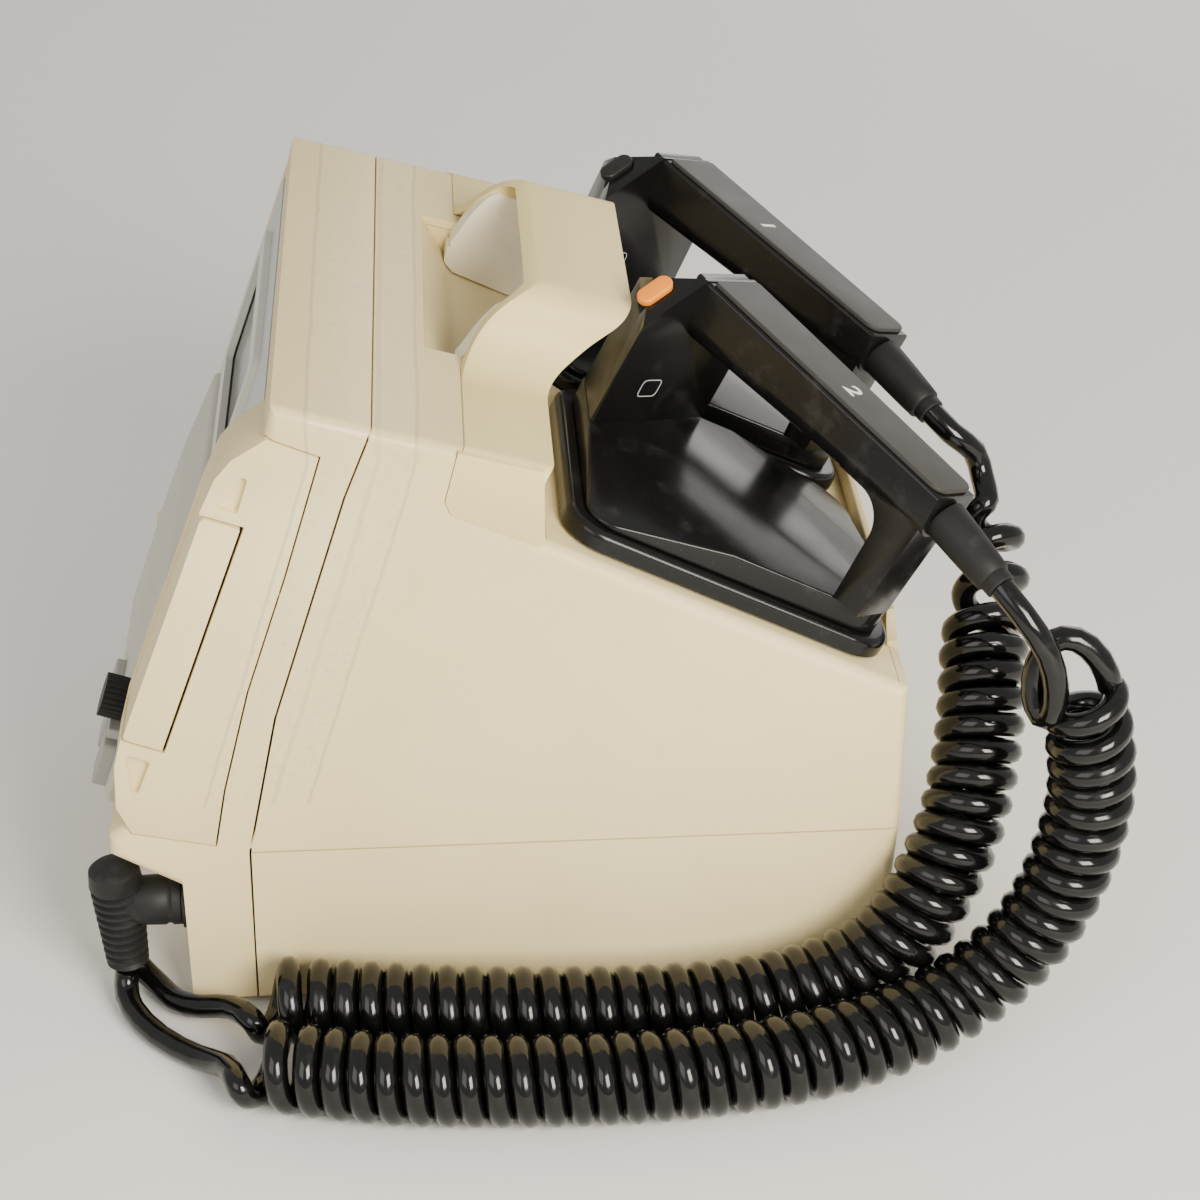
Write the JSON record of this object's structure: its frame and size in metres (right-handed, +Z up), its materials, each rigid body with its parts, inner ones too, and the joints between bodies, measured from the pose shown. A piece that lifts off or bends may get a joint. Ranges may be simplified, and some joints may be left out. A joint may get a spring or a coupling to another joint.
{
  "type": "defibrillator",
  "caption": "Portable monitor defibrillator with two hard paddles stowed on top, their coiled leads, a carry handle and a side recorder.",
  "frame": {"origin": "on the surface it stands on, at the middle of the plinth under the case", "axes": "+X to the recorder side, -Y to the control front, +Z up"},
  "size_m": [0.3625, 0.412, 0.2782],
  "materials": {
    "cream_case": "fine moulded texture, yellowed",
    "pale_liner": "smooth",
    "grey_panel": "fine moulded texture",
    "dark_fascia": "smooth",
    "display_glass": "polished",
    "light_trim": "smooth",
    "black_knob": "satin, knurled",
    "grey_key": "smooth",
    "black_paddle": "satin to gloss",
    "grip_grey": "fine texture",
    "electrode_steel": "brushed",
    "orange_button": "smooth",
    "black_button": "smooth",
    "black_rubber": "satin",
    "cord_black": "glossy",
    "screw_steel": "plain",
    "inner_metal": "mill finish",
    "board_green": "solder mask",
    "cell_grey": "shrink wrap",
    "paper_white": "paper"
  },
  "bodies": {
    "root": {"apex_coil": "cord_black", "apex_lead": "cord_black", "apex_tail": "cord_black", "battery_left": "cell_grey", "battery_right": "cell_grey", "carry_handle": "cream_case", "case_screws": "screw_steel", "chassis_plate": "inner_metal", "control_panel": "grey_panel", "display_bezel": "light_trim", "display_board": "board_green", "display_tube": "inner_metal", "display_window": "display_glass", "door_hinge_pin": "screw_steel", "ecg_socket": "light_trim", "energy_capacitor": "inner_metal", "finger_cup": "cream_case", "front_case": "cream_case", "front_fascia": "dark_fascia", "handle_liner": "pale_liner", "hv_transformer": "inner_metal", "key_board": "board_green", "knob_encoder": "inner_metal", "lead_plug": "black_rubber", "lower_case": "cream_case", "main_board": "board_green", "paddle_socket": "black_rubber", "paddle_tray": "cream_case", "power_supply": "inner_metal", "rear_case": "cream_case", "recorder_module": "cream_case", "roll_spindle": "screw_steel", "rubber_feet": "black_rubber", "speaker": "inner_metal", "sternum_coil": "cord_black", "sternum_lead": "cord_black", "sternum_tail": "cord_black", "tray_rim": "cream_case"},
    "apex_paddle": {"apex_base": "black_paddle", "apex_frame": "black_paddle", "apex_flange": "black_paddle", "apex_grip_plate": "grip_grey", "apex_electrode": "electrode_steel", "apex_relief": "black_rubber"},
    "apex_button": {"apex_shock_button": "orange_button"},
    "sternum_paddle": {"sternum_base": "black_paddle", "sternum_frame": "black_paddle", "sternum_flange": "black_paddle", "sternum_grip_plate": "grip_grey", "sternum_electrode": "electrode_steel", "sternum_relief": "black_rubber"},
    "sternum_button": {"sternum_shock_button": "black_button"},
    "energy_dial": {"energy_knob": "black_knob", "knob_shaft": "screw_steel"},
    "charge_press": {"charge_key": "grey_key"},
    "select_press": {"select_key": "grey_key"},
    "mode_press": {"mode_key": "grey_key"},
    "sync_press": {"sync_key": "grey_key"},
    "recorder_flap": {"recorder_door": "cream_case"},
    "roll": {"paper_roll": "paper_white"}
  },
  "joints": [
    {"name": "apex_lift", "type": "slide", "parent": "root", "child": "apex_paddle", "axis": [0, 0.4498, 0.8931], "range_m": [0, 0.045]},
    {"name": "apex_shock_press", "type": "slide", "parent": "apex_paddle", "child": "apex_button", "axis": [-0.4284, 0.0794, -0.9001], "range_m": [0, 0.0025], "stiffness_N_per_m": 900, "springref_m": -0.001},
    {"name": "sternum_lift", "type": "slide", "parent": "root", "child": "sternum_paddle", "axis": [0, 0.4498, 0.8931], "range_m": [0, 0.045]},
    {"name": "sternum_shock_press", "type": "slide", "parent": "sternum_paddle", "child": "sternum_button", "axis": [-0.3866, 0.1119, -0.9154], "range_m": [0, 0.0025], "stiffness_N_per_m": 900, "springref_m": -0.001},
    {"name": "energy_dial_turn", "type": "hinge", "parent": "root", "child": "energy_dial", "pos_m": [0.08, -0.15138, 0.11614], "axis": [0, -0.9393, 0.3431], "range_deg": [0, 300]},
    {"name": "charge_key_press", "type": "slide", "parent": "root", "child": "charge_press", "axis": [0, 0.9393, -0.3431], "range_m": [0, 0.002], "stiffness_N_per_m": 700, "springref_m": -0.001},
    {"name": "select_key_press", "type": "slide", "parent": "root", "child": "select_press", "axis": [0, 0.9393, -0.3431], "range_m": [0, 0.002], "stiffness_N_per_m": 700, "springref_m": -0.001},
    {"name": "mode_key_press", "type": "slide", "parent": "root", "child": "mode_press", "axis": [0, 0.9393, -0.3431], "range_m": [0, 0.002], "stiffness_N_per_m": 700, "springref_m": -0.001},
    {"name": "sync_key_press", "type": "slide", "parent": "root", "child": "sync_press", "axis": [0, 0.9393, -0.3431], "range_m": [0, 0.002], "stiffness_N_per_m": 700, "springref_m": -0.001},
    {"name": "recorder_door_turn", "type": "hinge", "parent": "root", "child": "recorder_flap", "pos_m": [0.117, -0.1433, 0.1354], "axis": [1, 0, 0], "range_deg": [0, 80]},
    {"name": "paper_roll_turn", "type": "hinge", "parent": "root", "child": "roll", "pos_m": [0.117, -0.1015, 0.179], "axis": [1, 0, 0], "continuous": true}
  ]
}
